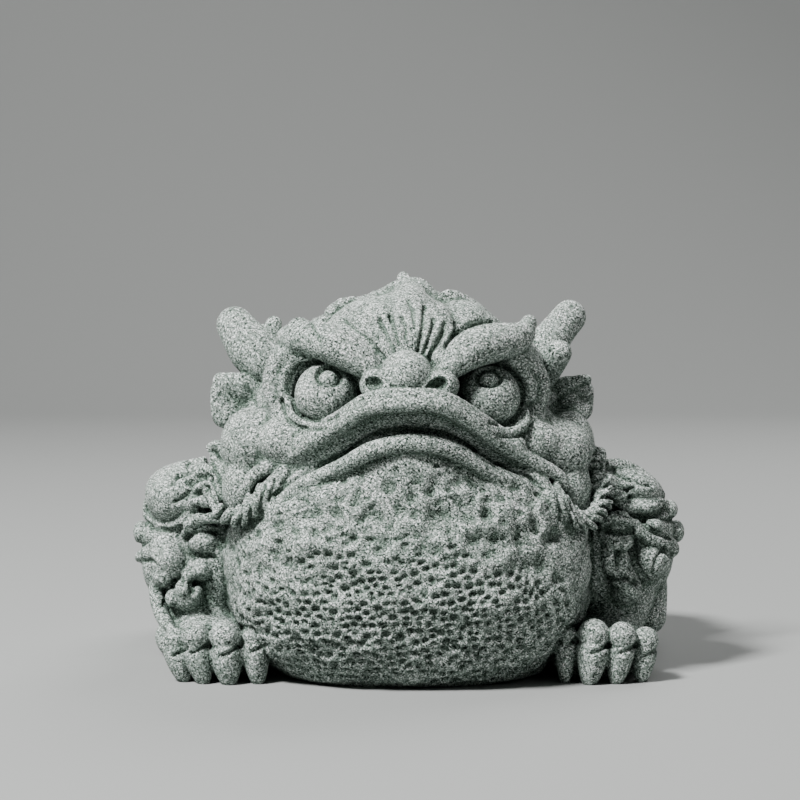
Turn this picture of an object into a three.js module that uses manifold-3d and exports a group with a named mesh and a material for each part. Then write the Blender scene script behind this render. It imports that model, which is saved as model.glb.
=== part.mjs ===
// Money toad: a squat toad with a dragon's horns, ears and mane and a rope through its mouth,
// cast in one piece from green sandstone paste. It sits on a flat underside and looks along -Y,
// with +X on the right of someone who faces it.

import * as THREE from 'three';
import { mergeVertices } from 'three/addons/utils/BufferGeometryUtils.js';
import Module from 'manifold-3d';

const wasm = await Module();
wasm.setup();

// Height over the crest, in millimetres. It sets the size of the whole figure.
const HEIGHT = 86;

// Places, radii and thicknesses of the carving are written in hundredths of the height.
const HUNDREDTH = HEIGHT / 100;

const LEFT = -1;
const RIGHT = 1;
const SIDES = [LEFT, RIGHT];

// Corners of a skin that lie nearer to each other than this are one corner.
const SAME_CORNER = 1e-4;

// The side that the cross-section of a stroke is squared up to.
const FORWARD = new THREE.Vector3(0, -1, 0);
const UPWARD = new THREE.Vector3(0, 0, 1);

const { clamp, degToRad, lerp } = THREE.MathUtils;

function scaled([x, y, z]) {
  return new THREE.Vector3(x, y, z).multiplyScalar(HUNDREDTH);
}

function mirrored(side, [x, y, z]) {
  return [side * x, y, z];
}

// A closed skin with each corner kept once and no collapsed triangles, ready to be bent.
function skin(geometry) {
  geometry.deleteAttribute('normal');
  geometry.deleteAttribute('uv');
  const merged = mergeVertices(geometry, SAME_CORNER);
  const corners = merged.index.array;
  const kept = [];
  for (let i = 0; i < corners.length; i += 3) {
    const [a, b, c] = corners.slice(i, i + 3);
    if (a !== b && b !== c && c !== a) kept.push(a, b, c);
  }
  merged.setIndex(kept);
  return merged;
}

function solid(geometry) {
  return new wasm.Manifold(new wasm.Mesh({
    numProp: 3,
    vertProperties: new Float32Array(geometry.attributes.position.array),
    triVerts: new Uint32Array(geometry.index.array),
  }));
}

function moveCorners(geometry, move) {
  const places = geometry.attributes.position;
  const place = new THREE.Vector3();
  for (let i = 0; i < places.count; i += 1) {
    place.fromBufferAttribute(places, i);
    move(place);
    places.setXYZ(i, place.x, place.y, place.z);
  }
}

// The skin point of an egg-shaped mass in one direction from its centre. fullness is 2 for an
// ellipsoid and more for a squarer shape.
function onMass({ centre, radii, fullness = 2 }, direction) {
  const reach = direction.reduce((sum, part) => sum + Math.abs(part) ** fullness, 0) ** (1 / fullness);
  return centre.map((value, axis) => value + (direction[axis] / reach) * radii[axis]);
}

// An egg-shaped mass about a centre, with turn in degrees about X, Y and Z.
function lump(centre, radii, { turn = [0, 0, 0], fullness = 2, rings = 6 } = {}) {
  const geometry = skin(new THREE.SphereGeometry(1, 2 * rings, rings));
  const angles = new THREE.Euler(...turn.map(degToRad));
  geometry.rotateX(Math.PI / 2);
  moveCorners(geometry, (place) => {
    place.copy(scaled(onMass({ centre: [0, 0, 0], radii, fullness }, place.toArray())));
    place.applyEuler(angles).add(scaled(centre));
  });
  return solid(geometry);
}

// The thickness at a share of a path, between the thicknesses given for its points.
function thicknessAt(thickness, share) {
  const spot = clamp(share, 0, 1) * (thickness.length - 1);
  const before = Math.min(Math.floor(spot), thickness.length - 2);
  return lerp(thickness[before], thickness[before + 1], spot - before) * HUNDREDTH;
}

// A round-ended roll along a smooth path. Its half width changes along the path, and twist is
// in turns from end to end.
function stroke(path, thickness, options = {}) {
  const { facing = FORWARD, twist = 0, sides = 7, steps = 4, cap = 2 } = options;
  const curve = new THREE.CatmullRomCurve3(path.map(scaled), false, 'centripetal');
  const geometry = skin(new THREE.CapsuleGeometry(1, steps, cap, sides, steps));
  moveCorners(geometry, (place) => {
    const level = clamp(place.y, -steps / 2, steps / 2);
    const share = level / steps + 1 / 2;
    const half = thicknessAt(thickness, curve.getUtoTmapping(share));
    const along = curve.getTangentAt(share);
    const across = new THREE.Vector3().crossVectors(along, facing).normalize();
    const out = new THREE.Vector3().crossVectors(across, along);
    const beyond = place.y - level;
    const section = new THREE.Vector2(place.x, place.z);
    section.rotateAround(new THREE.Vector2(), 2 * Math.PI * twist * share);
    place.copy(curve.getPointAt(share));
    place.addScaledVector(across, section.x * half);
    place.addScaledVector(out, section.y * half);
    place.addScaledVector(along, beyond * half);
  });
  return solid(geometry);
}

function joined(solids) {
  return solids.reduce((whole, next) => whole.add(next));
}

function carved(whole, cutters) {
  return cutters.reduce((left, cutter) => left.subtract(cutter), whole);
}

const BACK = { centre: [0, 12, 30], radii: [56, 46, 42], fullness: 2.2 };

// The trunk: a low round back, a broad rump, and the haunches folded against both sides.
function trunk() {
  const sides = SIDES.flatMap((side) => [
    lump(mirrored(side, [47, 24, 20]), [21.5, 32, 25], { fullness: 2.4 }),
    lump(mirrored(side, [47, -10, 28]), [13, 16, 24], { rings: 4 }),
  ]);
  return [
    lump(BACK.centre, BACK.radii, { fullness: BACK.fullness, rings: 8 }),
    lump([0, 38, 18], [44.5, 22, 27.5], { fullness: 2.4, rings: 5 }),
    ...sides,
  ];
}

// The hind feet: flat, out in front of the haunches, with three blunt toes each.
function hindFeet() {
  return SIDES.flatMap((side) => [[50, -10], [56.5, -9], [61, -2]].map(([x, y]) => stroke(
    [[52, y + 20, 6], [x, y + 6, 5], [x, y, 2.6]].map((place) => mirrored(side, place)),
    [5, 4, 2.8],
    { facing: UPWARD, sides: 5, steps: 2, cap: 1 },
  )));
}

// The throat, puffed out under the lip down to the ground.
function throat() {
  return [lump([0.6, -22, 28], [45.8, 36, 34.5], { fullness: 2.4, rings: 10 })];
}

// The head: skull, muzzle, cheeks over the mouth's corners, and jowls under them.
function head() {
  const sides = SIDES.flatMap((side) => [
    lump(mirrored(side, [35, -12, 58]), [11.2, 14, 12], { rings: 4 }),
    lump(mirrored(side, [37, -30, 57.6]), [9.5, 11, 9.2], { rings: 5 }),
    lump(mirrored(side, [27.4, -36.5, 58.6]), [8.5, 9, 8], { rings: 4 }),
    lump(mirrored(side, [41, -29, 46]), [7, 9, 9], { rings: 5 }),
    lump(mirrored(side, [32, -28, 50]), [9, 11, 8], { rings: 4 }),
  ]);
  return [
    lump([0, -8, 65], [41, 34, 21], { rings: 7 }),
    lump([0.3, -27, 59], [37.5, 29, 14]),
    ...sides,
  ];
}

// The mouth: a heavy drooping upper lip, and a thinner lower lip pressed against it.
function lips() {
  const upper = [
    [-37.2, -35, 49], [-36, -38, 52.6], [-25.5, -45, 57.5], [-15.7, -51, 62], [-8, -54, 65.6],
    [0.8, -55, 66.8], [8, -54, 66], [14, -51.5, 63], [22.4, -46.5, 57], [31.5, -40, 53.8],
    [38, -36, 51], [39.2, -33, 47.5],
  ];
  const lower = [
    [-35, -43, 40.5], [-30.5, -43.5, 46], [-20.5, -47.5, 51.5], [-14.5, -50, 54.5], [-8, -52.5, 58.4],
    [0.9, -53.5, 60], [8.5, -52.5, 59], [14.5, -50.5, 56.2], [20.3, -48, 52.4], [30.5, -43.5, 47.8],
    [34, -43.5, 43.5], [35.5, -43, 39.8],
  ];
  const fine = { steps: 11, cap: 1 };
  return [
    stroke(upper, [2.4, 2.7, 3.6, 4.1, 4.5, 4.7, 4.5, 4.1, 3.8, 3, 2.6, 2.3], { sides: 6, ...fine }),
    stroke(lower, [1.5, 1.8, 2.1, 2.3, 2.5, 2.6, 2.5, 2.4, 2.3, 2.2, 2, 1.6], { sides: 5, ...fine }),
  ];
}

const EYE_RADIUS = 8.2;
const EYES = { [LEFT]: [-19.3, -38, 71.2], [RIGHT]: [20.4, -38, 70.6] };

// The gaze is up and a little inwards, so that the pupils meet the brows.
function gaze(side) {
  return new THREE.Vector3(-side * 0.06, -0.82, 0.57).normalize();
}

function onEye(side, reach) {
  const [x, y, z] = EYES[side];
  const look = gaze(side).multiplyScalar(reach);
  return [x + look.x, y + look.y, z + look.z];
}

function eyeSockets() {
  return SIDES.map((side) => {
    const [x, y, z] = EYES[side];
    return lump([x + side, y - 6.5, z], [10.2, 9.5, 10], { rings: 5 });
  });
}

function eyeballs() {
  return SIDES.map((side) => {
    const ball = lump(EYES[side], [EYE_RADIUS, EYE_RADIUS, EYE_RADIUS], { rings: 7 });
    const hole = lump(onEye(side, EYE_RADIUS), [3.6, 2.4, 3.4], { turn: [-35, 0, 0], rings: 4 });
    const pupil = lump(onEye(side, EYE_RADIUS - 1.6), [2.3, 2.3, 2.3], { turn: [-35, 0, 0], rings: 3 });
    return ball.subtract(hole).add(pupil);
  });
}

// The rims round the eyes: thin lower lids, and a ridge down the outside of each socket.
function eyeRims() {
  const leftLid = [[-29, -39, 68], [-26.4, -42, 64.6], [-21, -45.5, 62.6], [-12, -48.5, 66]];
  const rightLid = [[14, -48.5, 66], [21, -46, 61.8], [27.4, -42, 62], [30, -39, 67]];
  const ridge = [[27, -33, 82], [31.5, -30, 78], [32.8, -29, 69], [29, -34, 61.5]];
  return [
    stroke(leftLid, [1.2, 1.5, 1.6, 1], { sides: 5, steps: 4, cap: 1 }),
    stroke(rightLid, [1, 1.5, 1.6, 1.2], { sides: 5, steps: 4, cap: 1 }),
    ...SIDES.map((side) => stroke(
      ridge.map((place) => mirrored(side, place)),
      [2.8, 3.4, 3.7, 3],
      { sides: 6, steps: 3, cap: 1 },
    )),
  ];
}

// The scowling brows, thick over the eyes and running down to the nose.
function brows() {
  const left = [
    [-29, -35, 83.4], [-24.8, -39, 83.3], [-19.4, -43, 82.9], [-13.9, -45, 81.6],
    [-9.1, -46.5, 79.5], [-5.8, -47, 77],
  ];
  const right = [
    [29, -36, 85.6], [24.9, -40, 83.2], [20.7, -43, 82.7], [15.9, -45, 81.8],
    [11.8, -46.5, 79.9], [8.2, -47, 77],
  ];
  return [
    stroke(left, [3.8, 4.4, 4.7, 5.3, 4.7, 2.6], { sides: 6, steps: 5, cap: 1 }),
    stroke(right, [3, 4.4, 5.1, 5.3, 4.5, 2.6], { sides: 6, steps: 5, cap: 1 }),
  ];
}

// The snub nose between the brows, with a flared nostril at each side.
function nose() {
  const bulb = lump([-0.4, -47, 75.8], [7.4, 8.6, 6.4], { rings: 5 });
  const wings = [
    lump([-7.6, -49, 73], [4.4, 4.8, 4.2], { rings: 4 }),
    lump([7.8, -49, 72.8], [5.2, 4.8, 4.3], { rings: 4 }),
  ];
  const nostrils = [
    lump([-8.3, -53.6, 73.8], [2, 2.6, 1.2], { turn: [0, -15, 0], rings: 3 }),
    lump([7.3, -53.6, 73.1], [2.3, 2.8, 1.8], { turn: [0, 20, 0], rings: 3 }),
  ];
  return carved(joined([bulb, ...wings]), nostrils);
}

// The crest: a peaked mass of mane that rises from the nose, fluted in front with narrow
// strands, with a second lobe on its right and a lock that curls up behind it on its left.
function crest() {
  const plain = { sides: 6, steps: 2, cap: 1 };
  const fan = [-2, -1, 0, 1, 2];
  const strands = fan.map((place) => {
    const fall = place * place;
    return stroke([
      [0.8 + 0.6 * place, -47.5, 79.5],
      [1.2 + 2 * place, -44.8 + 0.6 * fall, 85.5 - 0.3 * fall],
      [2 + 3.9 * place, -37.6 + 0.6 * fall, 92.4 - 0.9 * fall],
    ], [1, 1.9, 1.9], { sides: 4, steps: 2, cap: 1 });
  });
  return [
    lump([-4.5, -22, 79], [18.5, 21, 16.2], { rings: 7 }),
    stroke([[0.6, -38, 81], [0.4, -28, 88.5], [0.6, -15, 95]], [9, 8.2, 4.8], { sides: 8, steps: 3 }),
    stroke([[-0.2, -17, 93.5], [-0.4, -11, 98.4]], [4, 2.2], { sides: 6, steps: 1, cap: 1 }),
    lump([13, -20, 82], [11, 15, 12.5], { turn: [0, 20, 0], rings: 5 }),
    stroke([[8.6, -21, 92], [11.5, -18, 93.6], [17, -14, 90]], [1.6, 2.6, 3.4], plain),
    stroke([[-22, -18, 85], [-18.6, -17, 89.4], [-13.8, -17, 92]], [2.6, 2.8, 1.8], plain),
    ...strands,
  ];
}

// The rest of the mane: locks that sweep back from the crest and end on the nape.
function mane() {
  const locks = [
    [[0, -10, 94], [0, 4, 90], [0, 17, 80], [0, 28, 73.5]],
    [[7, -10, 92], [12, 3, 87], [16, 15, 77.5], [17, 25, 72]],
    [[14, -10, 88], [22, 0, 82], [28, 10, 74], [30, 19, 68.5]],
  ];
  const swept = (side, path) => stroke(
    path.map((place) => mirrored(side, place)),
    [4.6, 5.6, 5, 1.6],
    { facing: UPWARD, sides: 5, steps: 3, cap: 1 },
  );
  const [middle, ...outer] = locks;
  return [
    lump([0, 0, 73], [29, 24, 17], { rings: 5 }),
    swept(RIGHT, middle),
    ...outer.flatMap((path) => SIDES.map((side) => swept(side, path))),
  ];
}

// The horns: a blunt main tine on each side, with a short second tine.
function horns() {
  return [
    stroke([[-31, -14, 76], [-38.5, -13, 80.6], [-43.4, -8, 86.4]], [7.2, 6.4, 5.3], { sides: 6, steps: 2 }),
    stroke([[-34, -14, 80], [-33.3, -13, 86.4]], [4, 2.6], { sides: 6, steps: 1 }),
    stroke([[32, -13, 75], [37.4, -11, 81.5], [41.4, -6, 87.8]], [7.2, 6, 5.2], { sides: 6, steps: 2 }),
    stroke([[31, -19, 72], [37.2, -23, 78.6]], [5.6, 4.2], { sides: 6, steps: 1 }),
  ];
}

// The ears: hollowed leaves that stand out from the sides of the head.
function ears() {
  const left = lump([-42.2, -16, 67.2], [7.4, 3.2, 8.2], { fullness: 2.3, turn: [0, -16, 0], rings: 5 });
  const leftHollow = lump([-42.6, -19.6, 65.4], [5.4, 2.6, 2.6], { turn: [0, 20, 0], rings: 3 });
  const right = lump([40.6, -16, 67.2], [7, 3.2, 7], { fullness: 2.8, turn: [0, 6, 0], rings: 5 });
  const rightHollow = lump([41.4, -19.6, 67.4], [5.6, 2.6, 2.6], { turn: [0, -35, 0], rings: 3 });
  return [carved(left, [leftHollow]), carved(right, [rightHollow])];
}

// The twisted rope: it leaves the mouth's corners, goes round the jowls and back over the
// shoulders. Its four sides wind round it, as its strands do.
function ropes() {
  const path = [
    [31, -44.5, 49.5], [34, -45, 45.2], [37, -44, 43], [41.3, -40.5, 40], [44.6, -38, 39.8],
    [47, -35, 42.6], [47.6, -32, 46], [48, -28, 50], [48.2, -22, 54.6], [46.5, -12, 57],
  ];
  return SIDES.map((side) => stroke(
    path.map((place) => mirrored(side, place)),
    [3.4, 3.4, 3, 2.8, 2.8],
    { twist: -2.4, sides: 4, steps: 16, cap: 1 },
  ));
}

// The curled tufts that cover the shoulders.
function shoulderTufts() {
  const left = [
    [[-55.5, -14, 44.2], [11, 15, 8.6], 15, 5],
    [[-65.8, -10, 32.4], [4.6, 9, 4.6], 10, 4],
    [[-59, -20, 28], [7, 9, 6.8], 30, 4],
    [[-49.8, -25, 32.8], [5.4, 6.5, 4], 0, 4],
    [[-50.5, -24, 26.2], [4.6, 6.5, 4], 20, 4],
    [[-55, -23, 21.4], [4.4, 6.5, 3.2], 0, 4],
  ];
  const right = [
    [[56.4, -14, 45.4], [9.6, 14, 6.8], 25, 5],
    [[60, -17, 40.6], [7.4, 12, 3.2], 5, 4],
    [[66, -9, 32.4], [4.4, 8, 5], 10, 4],
    [[61.5, -17, 26.6], [5.2, 9, 5.2], 0, 4],
    [[52.6, -25, 32.8], [4.8, 6.5, 3.2], 25, 4],
    [[50.4, -25, 27], [3.6, 6.5, 4.4], 0, 4],
    [[56, -22, 23.4], [4, 6.5, 4.4], 15, 4],
  ];
  const rolls = [
    [[-55, -27, 34.2], [-51.5, -31, 37.4], [-44.5, -32, 39]],
    [[47, -31, 37.4], [51.9, -31.5, 39.8], [57.4, -26, 36]],
    [[54.6, -27, 36.6], [60.6, -23, 33], [66, -15, 31]],
  ].map((path) => stroke(path, [1.6, 2.3, 1.9], { sides: 5, steps: 2, cap: 1 }));
  const curls = [...left, ...right].map(([centre, radii, lean, rings]) => lump(centre, radii, {
    turn: [0, -lean, 0],
    rings,
  }));
  return [...curls, ...rolls];
}

// The forelegs: bowed arms under the tufts, and flat feet with four clawed toes each. A toe is
// thick at its knuckle, narrow at the root of the claw, and thick again along the claw.
function forelegs() {
  const toes = {
    [LEFT]: [
      [-56, -38, 9.8, 2.9], [-51.4, -40.5, 11.2, 3.6], [-43.6, -41.5, 11.8, 4], [-36.8, -40.5, 11.2, 3.5],
    ],
    [RIGHT]: [
      [38.9, -39.5, 11.8, 2.7], [45.2, -41.5, 12.4, 4], [51.8, -40.5, 11.8, 3.7], [58, -38, 10.2, 3.2],
    ],
  };
  return SIDES.flatMap((side) => {
    const arm = [[56, -6, 36], [56, -14, 24], [51, -24, 13]].map((place) => mirrored(side, place));
    const claws = toes[side].map(([x, y, z, half]) => stroke(
      [
        [x, y + 2, z + 0.6], [x, y - 0.6, z - 1.4], [x, y - 0.6, z - 3.4],
        [x, y - 2.4, z / 2 - 1], [x, y - 3.2, 1.4],
      ],
      [half, half, half * 0.72, half * 0.98, half * 0.5],
      { sides: 5, cap: 1 },
    ));
    return [
      stroke(arm, [9, 9, 9], { sides: 6, steps: 2, cap: 1 }),
      lump(mirrored(side, [47.5, -31, 7]), [12.5, 11, 9.5], { fullness: 2.5, rings: 4 }),
      ...claws,
    ];
  });
}

// The warts of the back, in rows down both sides of the spine, smaller towards the ground.
function warts() {
  const rows = [
    { round: 0, heights: [44] },
    { round: 26, heights: [58, 36] },
    { round: 54, heights: [50] },
  ];
  return rows.flatMap(({ round, heights }) => heights.flatMap((height) => {
    const [azimuth, elevation] = [degToRad(round), degToRad(height)];
    const half = 2.4 + height / 30;
    return (round === 0 ? [RIGHT] : SIDES).map((side) => lump(onMass(BACK, [
      side * Math.sin(azimuth) * Math.cos(elevation),
      Math.cos(azimuth) * Math.cos(elevation),
      Math.sin(elevation),
    ]), [half, half, half], { rings: 3 }));
  }));
}

// Everything below the ground is cut off, which leaves the flat underside.
function ground() {
  const depth = HEIGHT;
  const slab = skin(new THREE.BoxGeometry(4 * HEIGHT, 4 * HEIGHT, depth));
  slab.translate(0, 0, -depth / 2);
  return solid(slab);
}

function figure() {
  const face = carved(joined(head()), eyeSockets());
  return joined([
    face,
    ...trunk(),
    ...hindFeet(),
    ...throat(),
    ...lips(),
    ...eyeballs(),
    ...eyeRims(),
    ...brows(),
    nose(),
    ...crest(),
    ...mane(),
    ...horns(),
    ...ears(),
    ...ropes(),
    ...shoulderTufts(),
    ...forelegs(),
    ...warts(),
  ]).subtract(ground());
}

function geometryOf(manifold) {
  const mesh = manifold.getMesh();
  const geometry = new THREE.BufferGeometry();
  geometry.setAttribute('position', new THREE.BufferAttribute(mesh.vertProperties, 3));
  geometry.setIndex(new THREE.BufferAttribute(mesh.triVerts, 1));
  return geometry;
}

// Sandstone paste: pale grey green and dull.
const greenSandstone = new THREE.MeshStandardMaterial({ color: 0x8fa396, roughness: 0.92, metalness: 0 });

const toad = new THREE.Mesh(geometryOf(figure()), greenSandstone);
toad.name = 'money_toad';

const model = new THREE.Group();
model.add(toad);

export default model;
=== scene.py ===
# A money toad: a squat toad with a dragon's horns, ears and mane and a rope through its mouth,
# cast in one piece from a paste of crushed green sandstone. It sits on a flat underside and
# looks along -Y, with +X on the right of someone who faces it.

import math

import bmesh
import bpy
import numpy as np
from mathutils import Euler, Matrix, Vector, noise
from mathutils.bvhtree import BVHTree
from mathutils.geometry import interpolate_bezier
from mathutils.kdtree import KDTree


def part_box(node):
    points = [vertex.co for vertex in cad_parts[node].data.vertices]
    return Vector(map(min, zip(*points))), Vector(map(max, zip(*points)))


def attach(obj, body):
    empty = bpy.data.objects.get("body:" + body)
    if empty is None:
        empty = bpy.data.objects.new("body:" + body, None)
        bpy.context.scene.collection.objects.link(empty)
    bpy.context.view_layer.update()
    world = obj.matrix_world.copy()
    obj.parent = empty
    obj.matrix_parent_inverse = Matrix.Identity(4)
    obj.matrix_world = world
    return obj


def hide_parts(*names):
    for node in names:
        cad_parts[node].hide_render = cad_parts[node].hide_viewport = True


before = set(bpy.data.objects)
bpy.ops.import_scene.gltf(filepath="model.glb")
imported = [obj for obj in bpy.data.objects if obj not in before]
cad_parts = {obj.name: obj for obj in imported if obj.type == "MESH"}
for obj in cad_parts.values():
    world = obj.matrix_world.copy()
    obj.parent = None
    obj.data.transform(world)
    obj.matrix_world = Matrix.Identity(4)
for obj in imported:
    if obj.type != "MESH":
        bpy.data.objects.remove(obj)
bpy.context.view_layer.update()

# The camera faces the toad from a little above the level of its crest. Its field of view is
# narrow, as a portrait lens gives from half a metre away.
CAMERA_PLACE = (-0.0013, -0.5315, 0.0916)
DEGREES_DOWN = 3.72


def put_in_scene(name, data):
    """A new object with the data, as a part of the scene."""
    thing = bpy.data.objects.new(name, data)
    bpy.context.scene.collection.objects.link(thing)
    return thing


camera_data = bpy.data.cameras.new("camera")
camera_data.sensor_width = 36
camera_data.lens = 108
camera = put_in_scene("camera", camera_data)
camera.location = CAMERA_PLACE
camera.rotation_euler = (math.radians(90 - DEGREES_DOWN), 0, 0)
bpy.context.scene.camera = camera

# The floor is one pale matt sheet of paper, laid flat under the toad. Behind it the sheet bends
# up in one wide curve and becomes the backdrop.
FLOOR_FRONT = 2
FLOOR_DEPTH = 0.75
FLOOR_BEND = 0.4
FLOOR_HALF_WIDTH = 3
BACKDROP_HEIGHT = 2.5

floor_shape = bmesh.new()
corners = [floor_shape.verts.new((end * FLOOR_HALF_WIDTH, -FLOOR_FRONT, 0)) for end in (-1, 1)]
floor_shape.edges.new(corners)


def drawn_on(shape, edges, offset):
    """Extrudes the sheet's last edges by an offset and gives the new ones."""
    made = bmesh.ops.extrude_edge_only(shape, edges=edges)["geom"]
    verts = [part for part in made if isinstance(part, bmesh.types.BMVert)]
    bmesh.ops.translate(shape, verts=verts, vec=offset)
    return [part for part in made if isinstance(part, bmesh.types.BMEdge)
            and all(vert in verts for vert in part.verts)]


last_edges = drawn_on(floor_shape, floor_shape.edges[:], (0, FLOOR_FRONT + FLOOR_DEPTH, 0))
bmesh.ops.spin(floor_shape, geom=last_edges + [vert for edge in last_edges for vert in edge.verts],
               cent=(0, FLOOR_DEPTH, FLOOR_BEND), axis=(1, 0, 0), angle=math.pi / 2, steps=24)
back_edges = [edge for edge in floor_shape.edges
              if all(abs(vert.co.z - FLOOR_BEND) < 1e-4 for vert in edge.verts)]
drawn_on(floor_shape, back_edges, (0, 0, BACKDROP_HEIGHT))
bmesh.ops.recalc_face_normals(floor_shape, faces=floor_shape.faces[:])
floor_mesh = bpy.data.meshes.new("floor")
floor_shape.to_mesh(floor_mesh)
floor_shape.free()
floor_mesh.shade_smooth()
floor = put_in_scene("floor", floor_mesh)

paper = bpy.data.materials.new("pale_paper")
paper.use_nodes = True
paper_shader = paper.node_tree.nodes["Principled BSDF"]
paper_shader.inputs["Base Color"].default_value = (0.42, 0.43, 0.42, 1)
paper_shader.inputs["Roughness"].default_value = 0.9
floor_mesh.materials.append(paper)

# Soft lights in large boxes: the key from high on the left, a weaker fill on the right, and a
# strip behind that lifts the outline off the backdrop. Each has a place, a width and a power.
SOFT_BOXES = {
    "key": ((-0.47, -0.43, 0.85), 0.2, 19),
    "fill": ((0.8, -0.5, 0.5), 0.5, 0.15),
    "rim": ((0.3, 0.5, 0.7), 0.5, 4),
}
TOAD_MIDDLE = Vector((0, 0, 0.04))

for name, (place, width, power) in SOFT_BOXES.items():
    light_data = bpy.data.lights.new(name, "AREA")
    light_data.size = width
    light_data.energy = power
    light = put_in_scene(name, light_data)
    light.location = place
    light.rotation_euler = (Vector(place) - TOAD_MIDDLE).to_track_quat("Z", "Y").to_euler()

world = bpy.data.worlds.new("studio")
world.use_nodes = True
sky_light = world.node_tree.nodes["Background"]
sky_light.inputs["Color"].default_value = (0.93, 0.96, 1, 1)
sky_light.inputs["Strength"].default_value = 0.03
bpy.context.scene.world = world

# The seat of the figure: a low round back, a broad rump, the haunches folded against both
# sides with the flat hind feet in front of them, and the bowed forelegs. It was modelled in
# clay as one soft mass. Places and radii are in hundredths of the figure's height.
low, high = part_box("money_toad")
HUNDREDTH = (high[2] - low[2]) / 100
SIDES = (-1, 1)
FINEST = 0.3e-3

BACK = {"centre": (0, 12, 30), "radii": (56, 46, 42), "fullness": 2.2}
HAUNCH = {"centre": (47, 24, 20), "radii": (21.5, 32, 25), "fullness": 2.4}
FORELEG = ((56, -6, 36, 9.3), (57, -13, 24, 8.8), (52, -21.6, 13, 7.8))
HIND_TOES = ((50, -10), (56.5, -9), (61, -2))
BALL_STEP = 0.35
THICK = 3


def on_side(side, point):
    """The same point on the left (-1) or right (1) side of the figure."""
    return (side * point[0], *point[1:])


def row_on_side(side, points):
    """The same row of points on one side of the figure."""
    return [on_side(side, point) for point in points]


def lump(shapes, centre, radii, turn=(0, 0, 0), fullness=2, rings=20, top=1):
    """Adds an egg-shaped mass. fullness is 2 for an ellipsoid and more for a squarer one, and
    top is the share of its height that its upper half keeps."""
    egg = bmesh.new()
    bmesh.ops.create_uvsphere(egg, u_segments=2 * rings, v_segments=rings, radius=1)
    lean = Euler([math.radians(angle) for angle in turn]).to_matrix()
    for vert in egg.verts:
        reach = sum(abs(part) ** fullness for part in vert.co) ** (1 / fullness)
        spot = Vector([part / reach * radius for part, radius in zip(vert.co, radii)])
        spot.z *= top if spot.z > 0 else 1
        vert.co = (lean @ spot + Vector(centre)) * HUNDREDTH
    keep(shapes, egg)


def smooth_path(points, step, parts=40):
    """Places along a smooth curve through the points, each with its half width and a step of
    that share of it from the one before. Each stretch of the curve is tried in small parts."""
    spots = [Vector(point[:3]) for point in points]
    longer = [spots[0] * 2 - spots[1]] + spots + [spots[-1] * 2 - spots[-2]]
    along = [(spots[0], points[0][3])]
    for i in range(len(spots) - 1):
        before, start, end, after = longer[i:i + 4]
        leaving, arriving = start + (end - before) / 6, end - (after - start) / 6
        for j, spot in enumerate(interpolate_bezier(start, leaving, arriving, end, parts + 1)):
            half = points[i][3] + (points[i + 1][3] - points[i][3]) * j / parts
            if (spot - along[-1][0]).length > step * half:
                along.append((spot, half))
    return along


def roll(shapes, points, squash=1):
    """Adds a round-ended roll, as balls of clay in a row that the fusing makes one. Points are
    (x, y, z, half width), and squash is the share of its thickness kept from front to back."""
    row = bmesh.new()
    for spot, half in smooth_path(points, BALL_STEP):
        place = Matrix.Translation(spot * HUNDREDTH) @ Matrix.Scale(squash, 4, (0, 1, 0))
        bmesh.ops.create_icosphere(row, subdivisions=3 if half > THICK else 2,
                                   radius=half * HUNDREDTH, matrix=place)
    keep(shapes, row)


def keep(shapes, shape):
    """Puts a bmesh with the others of its group, as a mesh of its own."""
    mesh = bpy.data.meshes.new("clay")
    shape.to_mesh(mesh)
    shape.free()
    shapes.append(mesh)


def heaped(shapes):
    """An object of all the meshes of a group, as they lie."""
    heap = bmesh.new()
    for mesh in shapes:
        heap.from_mesh(mesh)
        bpy.data.meshes.remove(mesh)
    mesh = bpy.data.meshes.new("clay")
    heap.to_mesh(mesh)
    heap.free()
    return put_in_scene("clay", mesh)


def as_modified(clay):
    """The mesh that an object's modifiers make of its own."""
    graph = bpy.context.evaluated_depsgraph_get()
    return bpy.data.meshes.new_from_object(clay.evaluated_get(graph))


def fused(shapes, voxel, softening):
    """One closed skin round all the shapes of a group, with its hollows softened."""
    clay = heaped(shapes)
    remesh = clay.modifiers.new("fuse", "REMESH")
    remesh.mode = "VOXEL"
    remesh.voxel_size = max(voxel, FINEST)
    if softening:
        smooth = clay.modifiers.new("soften", "SMOOTH")
        smooth.factor = 0.5
        smooth.iterations = softening
    skin = as_modified(clay)
    bpy.data.objects.remove(clay)
    return skin


def cut_out(mesh, cutters):
    """Takes the closed shapes of a group out of a closed mesh."""
    tool = heaped(cutters)
    clay = heaped([mesh])
    boolean = clay.modifiers.new("cut", "BOOLEAN")
    boolean.operation = "DIFFERENCE"
    boolean.object = tool
    boolean.solver = "MANIFOLD"
    left = as_modified(clay)
    bpy.data.objects.remove(clay)
    bpy.data.objects.remove(tool)
    return left


figure = []

seat = []
lump(seat, **BACK, rings=40)
lump(seat, (0, 38, 18), (44.5, 22, 27.5), fullness=2.4, rings=30)
for side in SIDES:
    lump(seat, **{**HAUNCH, "centre": on_side(side, HAUNCH["centre"])}, rings=30)
    lump(seat, on_side(side, (47, -10, 28)), (13, 16, 24))
    roll(seat, row_on_side(side, FORELEG))
    lump(seat, on_side(side, (46.5, -15.6, 27)), (9, 13, 17))
    lump(seat, on_side(side, (47.5, -27, 6.4)), (12.5, 9.6, 8.2), fullness=2.5)
    for x, y in HIND_TOES:
        roll(seat, row_on_side(side, ((52, y + 20, 6, 5.4), (x, y + 6, 5, 4.4), (x, y, 2.6, 3.2))))
figure.append(fused(seat, voxel=1.1e-3, softening=8))

# The throat, puffed out under the lip like a ball and resting on the ground. Its skin stays
# clear of the arms, so that a dark crease runs down each side of it.


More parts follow.
